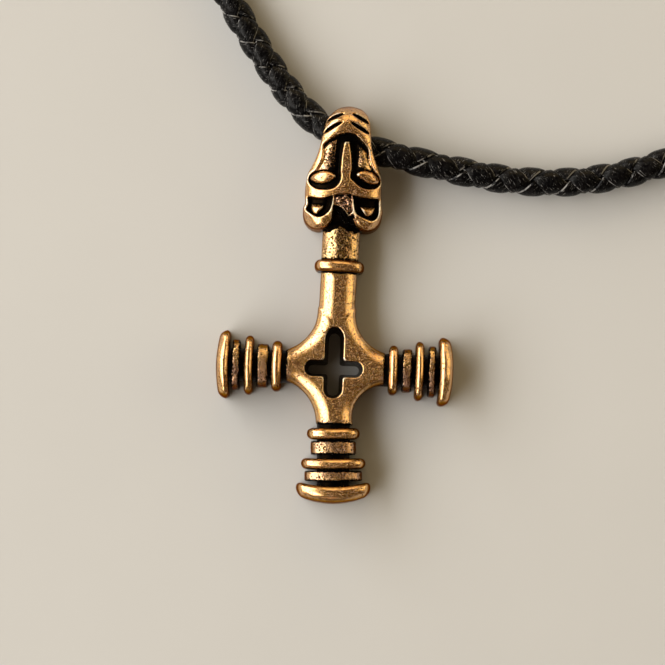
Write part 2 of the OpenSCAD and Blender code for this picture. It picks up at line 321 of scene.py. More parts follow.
def leather():
    """Glossy black leather: sparse creases along each strand, pale edge lines that are partly worn cut edges
    and partly painted highlight, and painted glints.
    """
    n = Nodes("black_leather")
    strand = n.attribute("strand", "Vector")
    split = n.add("ShaderNodeSeparateXYZ", {0: strand}).outputs
    across = n.math("ABSOLUTE", split[0])
    edge = n.ramp(across, 0.84, 0.92)
    line = n.times(n.ramp(across, 0.86, 0.9), n.ramp(across, 0.94, 0.98, 1.0, 0.0))
    creases = n.noise(n.stretch(strand, (6.0, 1.5, 1.0)), 1.0, 4.0, 0.65)
    grain = n.noise(n.stretch(strand, (1.4, 0.8, 1.0)), 4.5, 2.0)
    patches = n.noise(strand, 0.9, 3.0)
    relief = n.math("ADD", n.ramp(creases, 0.54, 0.66, 0.0, 0.5), n.ramp(grain, 0.56, 0.68, 0.0, 0.7))
    relief = n.times(relief, n.ramp(edge, 0.0, 1.0, 1.0, 0.2))
    colour = n.mix(n.ramp(patches, 0.35, 0.7), (0.0015, 0.0015, 0.002, 1), (0.004, 0.0035, 0.004, 1))
    # Painted glints: sparse pale streaks in the colour stand for small highlights.
    painted_glints = n.ramp(n.noise(n.stretch(strand, (4.0, 0.45, 1.0)), 3.8, 2.0), 0.62, 0.69, 0.0, 0.6)
    # Pale edge lines: partly worn cut edges, partly a painted highlight.
    edge_wear_and_glints = n.most(n.times(line, n.ramp(patches, 0.42, 0.56)), painted_glints)
    colour = n.mix(edge_wear_and_glints, colour, (0.22, 0.215, 0.21, 1))
    n.set(Base_Color=colour, Roughness=n.ramp(patches, 0.3, 0.7, 0.13, 0.2))
    n.set(Normal=n.bump(relief, 0.00004, 1.0), Specular_IOR_Level=0.10)
    return n.material


# Fields: arrays of distances in millimetres, negative inside the metal
def soft_min(a, b, reach):
    """The smaller of two fields, blended where they are nearly equal."""
    share = np.clip(0.5 + 0.5 * (b - a) / reach, 0, 1)
    return b + (a - b) * share - reach * share * (1 - share)


def round_edge(a, b, radius, power=2.0):
    """The edge where two faces meet, rounded; a lower power makes it slope more evenly."""
    a, b = a + radius, b + radius
    corner = (np.maximum(a, 0) ** power + np.maximum(b, 0) ** power) ** (1 / power)
    return corner + np.minimum(np.maximum(a, b), 0) - radius


def ease(value, low, high):
    """0 up to low, 1 from high on, and a smooth step between."""
    t = np.clip((value - low) / (high - low), 0, 1)
    return t * t * (3 - 2 * t)


def segment_distance(x, y, a, b):
    run, rise = b[0] - a[0], b[1] - a[1]
    t = np.clip(((x - a[0]) * run + (y - a[1]) * rise) / (run * run + rise * rise), 0, 1)
    return np.hypot(x - a[0] - t * run, y - a[1] - t * rise)


def outline_distance(x, y, points):
    """Distance to a closed outline, negative inside it."""
    nearest = np.full(np.broadcast(x, y).shape, 1e3)
    inside = np.zeros(nearest.shape, bool)
    for a, b in zip(points, np.roll(points, -1, axis=0)):
        nearest = np.minimum(nearest, segment_distance(x, y, a, b))
        if a[1] != b[1]:
            crossing = a[0] + (y - a[1]) * (b[0] - a[0]) / (b[1] - a[1])
            inside ^= ((a[1] > y) != (b[1] > y)) & (x < crossing)
    return np.where(inside, -nearest, nearest)


def smooth_loop(points, parts=5):
    """A closed outline through a row of points, with its corners rounded."""
    points = np.asarray(points, float)
    around = np.vstack([points[-2:], points, points[:2]])
    return catmull_rom(around, parts)[2 * parts:-parts - 1]


def turn_by(x, y, degrees):
    """Coordinates in a frame that leans clockwise by some degrees."""
    lean = math.radians(degrees)
    return x * math.cos(lean) - y * math.sin(lean), x * math.sin(lean) + y * math.cos(lean)


class Grid:
    """Evenly spaced points in two or three directions, and what is sampled on them."""

    def __init__(self, low, high, step):
        self.low, self.step = np.array(low, float), step
        self.lines = [np.arange(a, b, step, dtype=np.float32) for a, b in zip(low, high)]
        self.shape = tuple(len(line) for line in self.lines)

    def axis(self, k):
        return self.along(self.lines[k], k)

    def along(self, values, k):
        return values.reshape([-1 if k == j else 1 for j in range(len(self.lines))])

    def noise(self, size, seed):
        """Smooth random values from -1 to 1 on a lattice of a given size."""
        counts = [int((line[-1] - line[0]) / size) + 3 for line in self.lines]
        values = np.random.default_rng(SEED + seed).uniform(-1, 1, counts).astype(np.float32)
        for k, line in enumerate(self.lines):
            spot = (line - line[0]) / size
            first = spot.astype(int)
            share = self.along(spot - first, k)
            share = share * share * (3 - 2 * share)
            low, high = (np.take(values, first + more, axis=k) for more in (0, 1))
            values = low * (1 - share) + high * share
        return values

    def sample(self, values, *spots):
        """Values between the grid's points, by linear interpolation."""
        cells, shares = [], []
        for k, spot in enumerate(spots):
            at = np.clip((spot - self.low[k]) / self.step, 0, self.shape[k] - 1.001)
            cells.append(at.astype(int))
            shares.append((at - cells[-1]).astype(np.float32))
        total = 0
        for corner in np.ndindex(*[2] * len(spots)):
            weight = 1
            for share, side in zip(shares, corner):
                weight = weight * (share if side else 1 - share)
            total = total + weight * values[tuple(cell + side for cell, side in zip(cells, corner))]
        return total

    def blur(self, values, radius):
        """Averages over boxes of a given radius, twice over."""
        reach = max(1, round(radius / self.step))
        for k in range(values.ndim):
            for _ in range(2):
                pad = [(reach + 1, reach) if k == j else (0, 0) for j in range(values.ndim)]
                total = np.cumsum(np.pad(values, pad, mode="edge"), axis=k, dtype=np.float64)
                ahead = np.take(total, np.arange(2 * reach + 1, total.shape[k]), axis=k)
                behind = np.take(total, np.arange(0, total.shape[k] - 2 * reach - 1), axis=k)
                values = ((ahead - behind) / (2 * reach + 1)).astype(np.float32)
        return values


def surface_net(grid, field):
    """Points and quads of the surface where a field is zero: one point in each cell that it crosses."""
    inside = field < 0
    cell_shape = tuple(n - 1 for n in grid.shape)
    total = np.zeros(cell_shape + (3,), np.float32)
    count = np.zeros(cell_shape, np.int32)
    edges = []
    one = np.eye(3, dtype=int)
    for k in range(3):
        at = np.argwhere(np.diff(inside, axis=k))
        a = field[tuple(at.T)]
        b = field[tuple((at + one[k]).T)]
        spot = at.astype(np.float32)
        spot[:, k] += a / (a - b)
        u, v = (k + 1) % 3, (k + 2) % 3
        keep = (at[:, u] > 0) & (at[:, v] > 0) & (at[:, u] < cell_shape[u]) & (at[:, v] < cell_shape[v])
        at, spot, outward = at[keep], spot[keep], a[keep] < 0
        cells = []
        for step_u, step_v in ((-1, -1), (0, -1), (0, 0), (-1, 0)):
            cell = tuple((at + step_u * one[u] + step_v * one[v]).T)
            np.add.at(total, cell, spot)
            np.add.at(count, cell, 1)
            cells.append(np.ravel_multi_index(cell, cell_shape))
        quad = np.stack(cells, axis=1)
        edges.append(np.where(outward[:, None], quad, quad[:, ::-1]))
    quads = np.vstack(edges)
    used, quads = np.unique(quads, return_inverse=True)
    points = (total.reshape(-1, 3)[used] / count.reshape(-1)[used, None]) * grid.step + grid.low
    return points, quads.reshape(-1, 4)


def slope(grid, field, points):
    """Direction and steepness of a field at points."""
    reach = 0.75 * grid.step
    ways = np.eye(3) * reach
    rise = [grid.sample(field, *(points + way).T) - grid.sample(field, *(points - way).T) for way in ways]
    return np.stack(rise, axis=1) / (2 * reach)


def settle(grid, field, points, rounds):
    """Moves points onto the surface where a field is zero."""
    for _ in range(rounds):
        steep = slope(grid, field, points)
        size = np.maximum((steep ** 2).sum(axis=1), 0.05)
        move = (grid.sample(field, *points.T) / size)[:, None] * steep
        points = points - np.clip(move, -grid.step, grid.step)
    return points


def field_mesh(name, grid, field):
    """The mesh of a field, thinned where it has too many triangles and shaded by the field's own slope."""
    points, quads = surface_net(grid, field)
    points = settle(grid, field, points, 3)
    obj = make_mesh(name, points, quads)
    triangles = 2 * len(quads)
    if triangles > MOST_TRIANGLES:
        thin = obj.modifiers.new("thin", "DECIMATE")
        thin.ratio = MOST_TRIANGLES / triangles
        ready = bpy.data.meshes.new_from_object(obj.evaluated_get(bpy.context.evaluated_depsgraph_get()))
        obj.modifiers.clear()
        obj.data = ready
    points = np.zeros(len(obj.data.vertices) * 3, np.float32)
    obj.data.vertices.foreach_get("co", points)
    points = points.reshape(-1, 3) / MM
    obj.data.shade_smooth()
    obj.data.normals_split_custom_set_from_vertices(unit(slope(grid, field, points)))
    return obj, points


def hollowness(grid, field, points, reach):
    """How much metal is round each point: 0 is flat, above 0 is hollow, below 0 is an edge."""
    metal = np.clip(0.5 - field / grid.step, 0, 1).astype(np.float32)
    return grid.sample(grid.blur(metal, reach * 0.7), *points.T) * 2 - 1


# Boxes in which fields are worked out: low corner, high corner and step
CROSS_BOX = ((-16.2, -18.4, -0.5), (16.7, 14.8, 7.7), 0.125)
HEAD_BOX = ((-5.9, 13.4, -0.4), (6.4, 35.3, 7.3), 0.1)
FRONT_BOX = ((-6.2, 13.0), (6.3, 35.4), 0.05)

# Amulet, cross: sizes in millimetres, close to those of the solid model
HEAD_LEAN = 1.15
FOOT_LEAN = 1.98
BODY_HEIGHT = 4.65
SHOULDER = 1.45
SHOULDER_REACH = 2.1
STEM_WIDTH = 4.7
NECK_WIDTH = 4.85
ARM_Y = 0.15
CORE = 2.15
CORE_HEIGHT = 2.1
RING_HEIGHT = 3.75
RING_HEIGHT_SHARE = 0.46
CROWN_SHARE = 1.5
FLANK_EDGE = 0.9
RING_EDGE = 0.55
RING_REACH = 0.7
FLANK_MORE = 0.2
EVEN_SLOPE = 1.5
DRUM_EDGE = 0.22
PLATE = {"left": -6.2, "right": 6.7, "top": 7.8, "foot": -7.2}
COLLAR = (12.63, 14.17, 3.25)

# Hollows of the plate's outline between the arms: columns are x, y and radius
FLARES = [(-8, 7.85, 5.8), (8, 7.6, 5.45), (-7.9, -7.25, 5.85), (6.9, -6.05, 4.25)]

# Rings and drums of each arm, by turns: columns are start and end at the middle, half width and bow
LEFT_ROWS = [
    (6.8, 8.1, 3.3, 0.05), (8.52, 9.95, 2.8, 0), (10.53, 11.67, 3.85, 0.1), (12.25, 13.22, 3.25, 0),
    (13.7, 15, 4.45, 0.25),
]
RIGHT_ROWS = [
    (7.2, 8.4, 3.25, 0.05), (8.97, 10.16, 2.8, 0), (10.66, 11.78, 3.85, 0.1), (12.36, 13.26, 3.3, 0),
    (13.82, 15.3, 4.5, 0.3),
]
FOOT_ROWS = [
    (7.75, 9.2, 3.45, 0.1), (9.4, 11.1, 2.95, 0), (11.7, 13.1, 4.2, 0.15), (13.35, 14.6, 3.75, 0.1),
    (15.3, 17.1, 4.85, 0.7),
]
SIDE_DOME = 0.35
FOOT_DOME = 0.45

# Rounding of the last ring's outer edge: into its front, and along the arm
LAST_EDGE = 0.9
LAST_REACH = 1.0

# The cross-shaped opening: reach of each slot from the crossing, its width, and how round its far end is
HOLE_UPRIGHT = {"from": -3.85, "to": 5.45, "width": 2.45, "point": 0.75}
HOLE_ACROSS = {"from": -3.8, "to": 3.8, "width": 2.1, "point": 1.0}
HOLE_TAPER = 0.5


def crowned(across, z, half):
    """Distance to a ring's outside: upright flanks and a crowned front that meet in round corners."""
    radius = CROWN_SHARE * half
    top = RING_HEIGHT + RING_HEIGHT_SHARE * half
    return round_edge(np.abs(across) - half, np.hypot(across, z - top + radius) - radius, FLANK_EDGE)


def ring_field(along, across, z, row, uneven, dome=0.0, outer=None):
    """A ring with rounded edges, more so at its flanks; outer gives its last edge other sizes."""
    start, end, half = row
    side = crowned(across, z, half) + 0.015 * uneven
    end = end + dome * (1 - np.clip(np.hypot(across, z - CORE_HEIGHT) / half, 0, 1) ** 2)
    at_flank = ease(np.abs(across), half - 1.4, half - 0.5)
    edge = RING_EDGE + FLANK_MORE * at_flank
    power = EVEN_SLOPE + (2 - EVEN_SLOPE) * at_flank
    reach = np.minimum(RING_REACH, 0.48 * (end - start))
    last_edge, last_reach = outer or (edge, reach)
    first = round_edge((start - along) * edge / reach, side, edge, power)
    return np.maximum(first, round_edge((along - end) * last_edge / last_reach, side, last_edge, power))


def arm_fields(out, across, z, rows, dome, uneven, rough):
    """Fields of an arm's smooth rings and of its rough drums and core, and the way out of a drum's ends."""
    core = np.hypot(across, z - CORE_HEIGHT) - CORE
    rings, drums = None, round_edge(core, out - rows[-1][0] - 0.5, 0.1)
    drums = np.maximum(drums, rows[0][0] - 2.5 - out)
    brink = np.full(drums.shape, 9.0, np.float32)
    for k, (start, end, half_width, bow) in enumerate(rows):
        along = out + bow * (across / half_width) ** 2
        if k % 2 == 0:
            last = {"dome": dome, "outer": (LAST_EDGE, LAST_REACH)} if k == len(rows) - 1 else {}
            part = ring_field(along + 0.03 * uneven, across, z, (start, end, half_width), uneven, **last)
            rings = part if rings is None else np.minimum(rings, part)
        else:
            ends = np.abs(along + 0.11 * rough - (start + end) / 2) - (end - start) / 2
            side = crowned(across, z, half_width) + 0.05 * rough
            drums = np.minimum(drums, round_edge(ends, side, DRUM_EDGE))
            brink = np.minimum(brink, ends)
    return rings, drums, brink


def slot_distance(along, across, slot):
    """Distance to a slot with round ends, the far one drawn out to a blunt point."""
    radius = slot["width"] / 2
    far = slot["to"] - radius / slot["point"]
    drawn = along - np.maximum(along - far, 0) * (1 - slot["point"])
    return segment_distance(drawn, across, (slot["from"] + radius, 0), (far, 0)) - radius


def cross_field(grid):
    """The whole field of plate, arms, stem and collar, and the fields that their looks need."""
    x, y, z = grid.axis(0), grid.axis(1), grid.axis(2)
    uneven = grid.noise(2.3, 1)
    rough = 0.35 * grid.noise(0.9, 2) + 0.5 * grid.noise(0.45, 3) + 0.45 * grid.noise(0.27, 4)
    head_x, head_y = turn_by(x, y, HEAD_LEAN)
    foot_x, foot_y = turn_by(x, y, -FOOT_LEAN)

    plate = y - PLATE["top"] + 0 * x
    for at_x, at_y, radius in FLARES:
        plate = np.maximum(plate, radius - np.hypot(x - at_x, y - at_y))
    stem = np.maximum(np.abs(head_x) - STEM_WIDTH / 2, np.maximum(2.5 - head_y, head_y - COLLAR[1] + 0.4))
    outline = soft_min(plate, stem, 0.5)
    top = z - BODY_HEIGHT + 0.04 * uneven
    body = round_edge(outline * SHOULDER / SHOULDER_REACH, top, SHOULDER, EVEN_SLOPE)
    ends = np.maximum(np.maximum(PLATE["left"] - x, x - PLATE["right"]), PLATE["foot"] - y) + 0.1 * rough
    body = round_edge(body, ends, 0.18)
    lip = np.maximum(ends, head_y - COLLAR[0])

    hole = soft_min(slot_distance(y, x, HOLE_UPRIGHT), slot_distance(x, y, HOLE_ACROSS), 0.45)
    hole = hole + HOLE_TAPER * (1 - z / BODY_HEIGHT)
    body = np.maximum(body, round_edge(z - BODY_HEIGHT, -hole, 0.2))

    smooth = ring_field(head_y + 0.04 * uneven, head_x, z, COLLAR, uneven)
    coarse, brink = (np.full(grid.shape, 9.0, np.float32) for _ in range(2))
    arms = [(-x, y - ARM_Y, LEFT_ROWS, SIDE_DOME), (x, y - ARM_Y, RIGHT_ROWS, SIDE_DOME)]
    arms.append((-foot_y, foot_x, FOOT_ROWS, FOOT_DOME))
    for out, across, rows, dome in arms:
        rings, drums, inset = arm_fields(out, across, z, rows, dome, uneven, rough)
        smooth = np.minimum(smooth, rings)
        coarse = np.minimum(coarse, drums)
        brink = np.minimum(brink, inset)
    smooth = np.minimum(smooth, body)
    whole = soft_min(smooth, coarse, 0.08)
    wall = ease(-hole, -0.3, -0.08) * ease(-z, 0.3 - BODY_HEIGHT, 0.55 - BODY_HEIGHT)
    return round_edge(whole, -z, 0.22), {"rough": coarse - smooth, "wall": wall, "brink": brink, "lip": lip}


# Amulet, head. Outline: columns are the place along the head, and its left and right edge there
HEAD_SIDES = [
    (18.9, -3.2, 3.3), (20.3, -5, 5.1), (21.4, -4.92, 5.05), (22.6, -5.03, 4.93), (24.2, -4.96, 4.85),
    (25.3, -4.72, 4.70), (26.3, -4.25, 4.38), (27.3, -3.83, 3.92), (28.4, -3.5, 3.5), (29.6, -3.26, 3.22),
    (31, -3.12, 3.17), (32.3, -2.8, 3), (33.3, -2.15, 2.55), (34.1, -1.2, 1.7), (34.5, -0.1, 0.5),
]
EARS = [(-3.1, 20, 2.05), (3.1, 20.1, 2.05)]
HEAD_HEIGHT = 6.8
CROWN = 8.0
TIP_Y = 31.0
TIP_RADIUS = 3.6

# Outlines on the head's front: columns are x and y. Each socket ends along the lower edge of its floor.
FACE_LEFT = [
    (0.2, 31.1), (-0.66, 31), (-1.59, 30.6), (-2.5, 29.95), (-3.02, 29.35), (-2.95, 28.4), (-3.1, 27.3),
    (-3.6, 26.3), (-4.2, 25.5), (-4.72, 24.85), (-4.6, 24.26), (-4.04, 23.76), (-3.2, 23.51),
    (-2.13, 23.55), (-1.31, 23.8), (-0.75, 24.34), (-0.46, 25.07), (-0.55, 26.04), (-0.54, 27.22),
    (-0.42, 28.89), (-0.26, 29.75), (-0.05, 30), (0.2, 30.15),
]
FACE_RIGHT = [
    (0, 31.1), (0.99, 31.02), (1.49, 30.69), (2.24, 29.99), (2.95, 29.1), (3.12, 28.16), (3.42, 27.24),
    (3.9, 26.3), (4.4, 25.5), (4.72, 24.7), (4.3, 24.1), (3.43, 23.87), (2.35, 24.01), (1.74, 24.37),
    (1.11, 24.89), (0.76, 25.28), (0.88, 26.12), (0.83, 27.3), (0.58, 28.95), (0.39, 29.86), (0.2, 30.02),
    (0, 30.15),
]
SOCKET_LEFT = [
    (-4.72, 25), (-4.25, 25.68), (-3.4, 26.12), (-2.45, 26.24), (-1.5, 26.1), (-0.8, 26.1), (-0.5, 25.8),
] + FACE_LEFT[16:9:-1]
SOCKET_RIGHT = [
    (0.76, 25.28), (0.85, 26.2), (1.2, 26.5), (2, 26.55), (3, 26.5), (3.8, 26.27), (4.45, 25.68),
    (4.78, 25.05), (4.6, 24.4),
] + FACE_RIGHT[11:15]
EYE_LEFT = [
    (-4.45, 24.98), (-4.02, 25.47), (-3.33, 25.83), (-2.5, 25.96), (-1.78, 25.82), (-1.24, 25.42),
    (-1.56, 25.03), (-2.07, 24.66), (-2.77, 24.4), (-3.49, 24.42), (-4.09, 24.65),
]
EYE_RIGHT = [
    (1.63, 25.8), (1.99, 26.14), (2.7, 26.26), (3.58, 26.05), (4.28, 25.56), (4.52, 25.05), (4.34, 24.75),
    (3.74, 24.64), (3.02, 24.78), (2.34, 25.16), (1.85, 25.46),
]
HOLLOW_LEFT = [
    (-4.56, 22.44), (-3.49, 22.37), (-2.54, 22.42), (-1.61, 22.75), (-1.27, 22.67), (-1.36, 22.08),
    (-1.48, 21.48), (-1.74, 20.87), (-2.3, 20.24), (-2.99, 19.91), (-3.71, 20.04), (-4.44, 20.42),
    (-4.8, 20.75), (-4.72, 21.11), (-4.56, 21.48), (-4.6, 22.01),
]
HOLLOW_RIGHT = [
    (1.2, 22.96), (1.95, 22.8), (2.9, 22.7), (3.97, 22.64), (4.66, 22.6), (4.7, 22.08), (4.76, 21.37),
    (4.72, 20.6), (4.42, 20), (3.9, 19.75), (3.42, 19.86), (2.82, 20.06), (2.08, 20.4), (1.64, 20.94),
    (1.42, 21.64), (1.25, 22.46),
]
TONGUE_LEFT = [
    (-4.17, 22.5), (-4.15, 21.14), (-3.85, 20.42), (-3.45, 20.2), (-3.03, 20.62), (-2.57, 21.32),
    (-2.35, 22.14), (-2.42, 22.6),
]
TONGUE_RIGHT = [
    (1.95, 22.9), (2.14, 21.92), (2.45, 21.29), (2.89, 20.5), (3.28, 20.32), (3.85, 20.6), (4.19, 21.27),
    (4.27, 22.05), (4.23, 22.8),
]
PATCH = [
    (-1.31, 22.73), (-0.8, 23.06), (0.56, 23.23), (1.22, 22.98), (1.36, 21.64), (1.35, 20.81),
    (0.9, 20.29), (0.39, 20.8), (-0.17, 21.3), (-0.95, 21.5), (-1.32, 21.84),
]
VALLEY = [
    (-1.2, 21.7), (-0.17, 21.43), (0.39, 20.99), (0.9, 20.4), (1.45, 20.5), (1.79, 19.41), (2.68, 18.28),
    (3.1, 17.2), (3.1, 15.5), (-3.3, 15.5), (-3.3, 16.8), (-2.99, 17.83), (-2.19, 18.47), (-1.48, 19.46),
    (-1.32, 20.77),
]

# Slits across the snout: columns are inner x and y, outer x and y, bow and width
SLITS = [
    (-0.44, 33.67, -2.8, 32.4, 0.13, 0.40), (0.51, 33.72, 2.93, 32.4, 0.07, 0.44),
    (-0.61, 32.62, -3.05, 30.92, 0.1, 0.47), (0.31, 32.62, 2.97, 31.12, 0.03, 0.47),
]

# The two sides of the face: columns are the outlines of floor, socket and eye, how far from the middle of
# the brow the black arch begins, how far the black reaches out from the nose, how coppery the floor is, how
# much soot lies at a place on it, that place, and the way from there in which the soot grows
FACES = [
    ((FACE_LEFT, SOCKET_LEFT, EYE_LEFT), 4.75, 0.14, 0.6, 0.58, (-1.24, 29.48), (0.913, -0.409)),
    ((FACE_RIGHT, SOCKET_RIGHT, EYE_RIGHT), 4.05, 0.35, 0.1, 0.52, (1.9, 28.5), (-0.9, 0.436)),
]
BROW_MIDDLE = (0.16, 26.4)
NOSE = ((0.1, 24.0), (0.12, 31.2))
NOSE_HALF_WIDTH = 0.68
SOCKET_DEPTH = 0.95
EAR_DEPTH = 1.25

# The mane in the valley: a place and the way across its strands, and how far apart they are
MANE_AT = (-0.14, 20.96)
MANE_WAY = (0.816, 0.578)
MANE_STEP = 0.42

# The passage for the cord through the snout
BAIL = {"from": 26.1, "to": 33.6, "low": 0.8, "high": 5.0}

SLIT_DEPTH = 0.75
SLIT_FLOOR = 5.3
NECK_FROM = 13.7
NECK_TO = 19.0

# What is sunk into the front: width of the round edge outside it, and of the steep wall inside it
SUNK = {"floor": (0.22, 0.25), "socket": (0.2, 0.22), "slit": (0.16, 0.14), "patch": (0.15, 0.2),
        "valley": (0.3, 0.3), "ear": (0.26, 0.22)}


def sink(kind, distance, depth):
    """How far a sunk outline lowers the surface: a round edge outside it, then a steep wall to its floor."""
    edge, wall = SUNK[kind]
    near = np.clip(1 - distance / edge, 0, 1)
    lip = np.minimum(edge, depth * 0.5)
    return lip * (1 - np.sqrt(1 - near ** 2)) + (depth - lip) * np.clip(-distance / wall, 0, 1)


def pillow(distance, width):
    """A bulge from 0 at an outline to 1 at a distance inside it."""
    t = np.clip(-distance / width, 0, 1)
    return np.sqrt(1 - (1 - t) ** 2)


def slit_outline(inner_x, inner_y, outer_x, outer_y, bow, width):
    t = np.linspace(0, 1, 9)
    run, rise = outer_x - inner_x, outer_y - inner_y
    length = math.hypot(run, rise)
    side_x, side_y = -rise / length, run / length
    if side_y < 0:
        side_x, side_y = -side_x, -side_y
    swell = 4 * t * (1 - t)
    loop = []
    for sign, order in ((0.5, slice(None)), (-0.5, slice(-2, 0, -1))):
        shift = (bow * swell + sign * width * swell ** 0.6)[order]
        across = inner_x + run * t[order] + side_x * shift
        loop += list(zip(across, inner_y + rise * t[order] + side_y * shift))
    return loop


def seen(x, y, z):
    """Where a point at some height shows in the photograph, in the plane that outlines are measured in."""
    above = z - CAMERA_TARGET[2]
    scale = CAMERA_DISTANCE / (CAMERA_DISTANCE - above)
    shift = above * math.tan(math.radians(CAMERA_TILT))
    return x * scale, CAMERA_TARGET[1] + (y + shift - CAMERA_TARGET[1]) * scale


def head_skin(x, y):
    """The head's outline, and the height of its front before anything is sunk into it."""
    left = [(edge, at) for at, edge, _ in HEAD_SIDES]
    right = [(edge, at) for at, _, edge in reversed(HEAD_SIDES)]
    outline = outline_distance(x, y, smooth_loop(left + right))
    for at_x, at_y, radius in EARS:
        outline = soft_min(outline, np.hypot(x - at_x, y - at_y) - radius, 0.3)
    crown = CROWN - np.sqrt(CROWN ** 2 - x ** 2)
    tip = np.clip(y - TIP_Y, 0, TIP_RADIUS)
    roll = TIP_RADIUS - np.sqrt(TIP_RADIUS ** 2 - tip ** 2)
    lobe = ease(-y, -20.9, -19.2)
    snout = ease(y, 29.8, 31.2)
    near = np.clip(1 + outline / (1.1 + 1.6 * snout + 0.45 * lobe), 0, 1)
    bevel = 0.22 * near ** 2 * (1 - np.maximum(snout, lobe))
    rounded = (1.25 * snout + 1.4 * lobe) * (1 - np.sqrt(1 - near ** 2))
    return outline, HEAD_HEIGHT - crown - roll - bevel - rounded


def raise_maps(front, **least):
    """Raises maps of the front to what is given, where they are lower."""
    for name, values in least.items():
        front[name] = np.maximum(front[name], values)


def carve_faces(front, x, y, ripple):
    """The sunk floors beside the ridge of the nose, with the eyes in their sockets."""
    skin = front["skin"]
    for outlines, reach, beside, copper, soot_level, (at_x, at_y), (way_x, way_y) in FACES:
        floor, bowl, eye = (outline_distance(x, y, smooth_loop(points)) for points in outlines)
        ball = eye - 0.17
        nose = segment_distance(x, y, *NOSE) - NOSE_HALF_WIDTH
        arch = reach - np.hypot(x - BROW_MIDDLE[0], y - BROW_MIDDLE[1])
        deep = np.exp(-np.clip(np.minimum(nose - beside, arch) + 0.25 * ripple, 0, 9) ** 2 / 0.5)
        soot = np.exp(-np.clip(bowl, 0, 9) ** 2 / 0.25) * ease(-nose, -2.6, -0.9)
        front["height"] = front["height"] - sink("floor", floor, 0.38 + 0.62 * deep + 0.08 * ripple)
        front["height"] = np.minimum(front["height"], skin - sink("socket", bowl, SOCKET_DEPTH))
        bulge = skin - SOCKET_DEPTH + 0.92 * pillow(ball, 0.75) * (ball < 0)
        on_floor = ease(-floor, 0.0, 0.15)
        in_bowl = ease(-bowl, -0.02, 0.12)
        sooty = ease(np.maximum(deep, 0.9 * soot) + 0.4 * ripple, 0.38, 0.62)
        raise_maps(front, height=bulge, black=on_floor * sooty)
        front["black"] = np.where(ball < -0.03, 0, np.maximum(front["black"], in_bowl))
        mottled = 0.3 + 0.7 * ease(-nose, -2.3, -1.3)
        mottled = ease(-floor, 0.1, 0.3) * (1 - in_bowl) * mottled
        grown = soot_level + 0.25 * ((x - at_x) * way_x + (y - at_y) * way_y)
        raise_maps(front, rough=mottled, copper=copper * on_floor, soot=mottled * np.clip(grown, 0.1, 0.7))


def carve_slits(front, x, y):
    for row in SLITS:
        slit = outline_distance(x, y, slit_outline(*row))
        sunk = front["height"] - sink("slit", slit, SLIT_DEPTH)
        front["height"] = np.maximum(sunk, np.minimum(front["height"], SLIT_FLOOR))
        raise_maps(front, black=ease(-slit, -0.04, 0.06))


def carve_nape(front, x, y, ripple):
    """The rough patch between the ears, and the black valley below it with its strands of mane."""
    patch = outline_distance(x, y, smooth_loop(PATCH))
    valley = outline_distance(x, y, smooth_loop(VALLEY))
    front["height"] = front["height"] - sink("patch", patch, 0.6 + 0.2 * ripple)
    on_patch = ease(-patch, 0.0, 0.2)
    raise_maps(front, rough=0.8 * on_patch, soot=0.52 * on_patch, copper=on_patch)
    fall = 1.5 + 0.7 * ease(-y, -20.5, -18.0)
    front["height"] = np.minimum(front["height"], front["skin"] - sink("valley", valley, fall))
    in_valley = ease(-valley, 0.0, 0.2)
    lock = (x - MANE_AT[0]) * MANE_WAY[0] + (y - MANE_AT[1]) * MANE_WAY[1]
    strands = 0.5 + 0.5 * np.cos(lock / MANE_STEP * 2 * math.pi)
    near_lock = ease(-np.abs(lock - 0.1), -0.75, -0.55)
    near_lock = near_lock * ease(y, 17.9, 18.5) * ease(-y, -21.4, -20.9)
    front["height"] = front["height"] + in_valley * near_lock * (0.7 + 0.32 * strands)
    sooty = ease(y + 0.42 * np.abs(x + 0.1) + 0.3 * ripple, 18.6, 18.9)
    raise_maps(front, black=in_valley * sooty)


def carve_ears(front, x, y):
    """The hollows of the ears, each with a tongue of metal that comes up to a bright tip."""
    skin = front["skin"]
    for hollow, tongue in ((HOLLOW_LEFT, TONGUE_LEFT), (HOLLOW_RIGHT, TONGUE_RIGHT)):
        pit, lift = (outline_distance(x, y, smooth_loop(points)) for points in (hollow, tongue))
        front["height"] = np.minimum(front["height"], skin - sink("ear", pit, EAR_DEPTH))
        lift = lift - 0.12
        rise = 0.25 + 0.72 * ease(-y, -21.9, -20.9)
        top = skin - EAR_DEPTH + rise * pillow(lift, 0.4)
        raise_maps(front, height=np.where(pit < 0.05, top, 0))
        in_pit = ease(-pit, -0.02, 0.12)
        bare = ease(-lift, -0.05, 0.07) * ease(-y, -21.6, -21.35)
        front["black"] = np.minimum(np.maximum(front["black"], in_pit), 1 - bare)
        front["rough"] = front["rough"] * (1 - in_pit)


def head_maps():
    """The head's front seen from above: its height, its outline, and where it is black, rough or coppery."""
    flat = Grid(*FRONT_BOX)
    outline, skin = head_skin(flat.axis(0), flat.axis(1))
    front = {"skin": skin, "height": skin}
    front.update({name: 0 * skin for name in ("black", "rough", "copper", "soot")})
    x, y = seen(flat.axis(0), flat.axis(1), skin)
    ripple = 0.6 * flat.noise(0.5, 11) + 0.4 * flat.noise(0.24, 12)
    carve_faces(front, x, y, ripple)
    carve_slits(front, x, y)
    carve_nape(front, x, y, ripple)
    carve_ears(front, x, y)
    front["height"] = front["height"] + 0.02 * flat.noise(1.1, 13)
    front["rough"] = front["rough"] * (1 - front["black"])
    front["outline"] = outline
    return flat, {name: values.astype(np.float32) for name, values in front.items()}


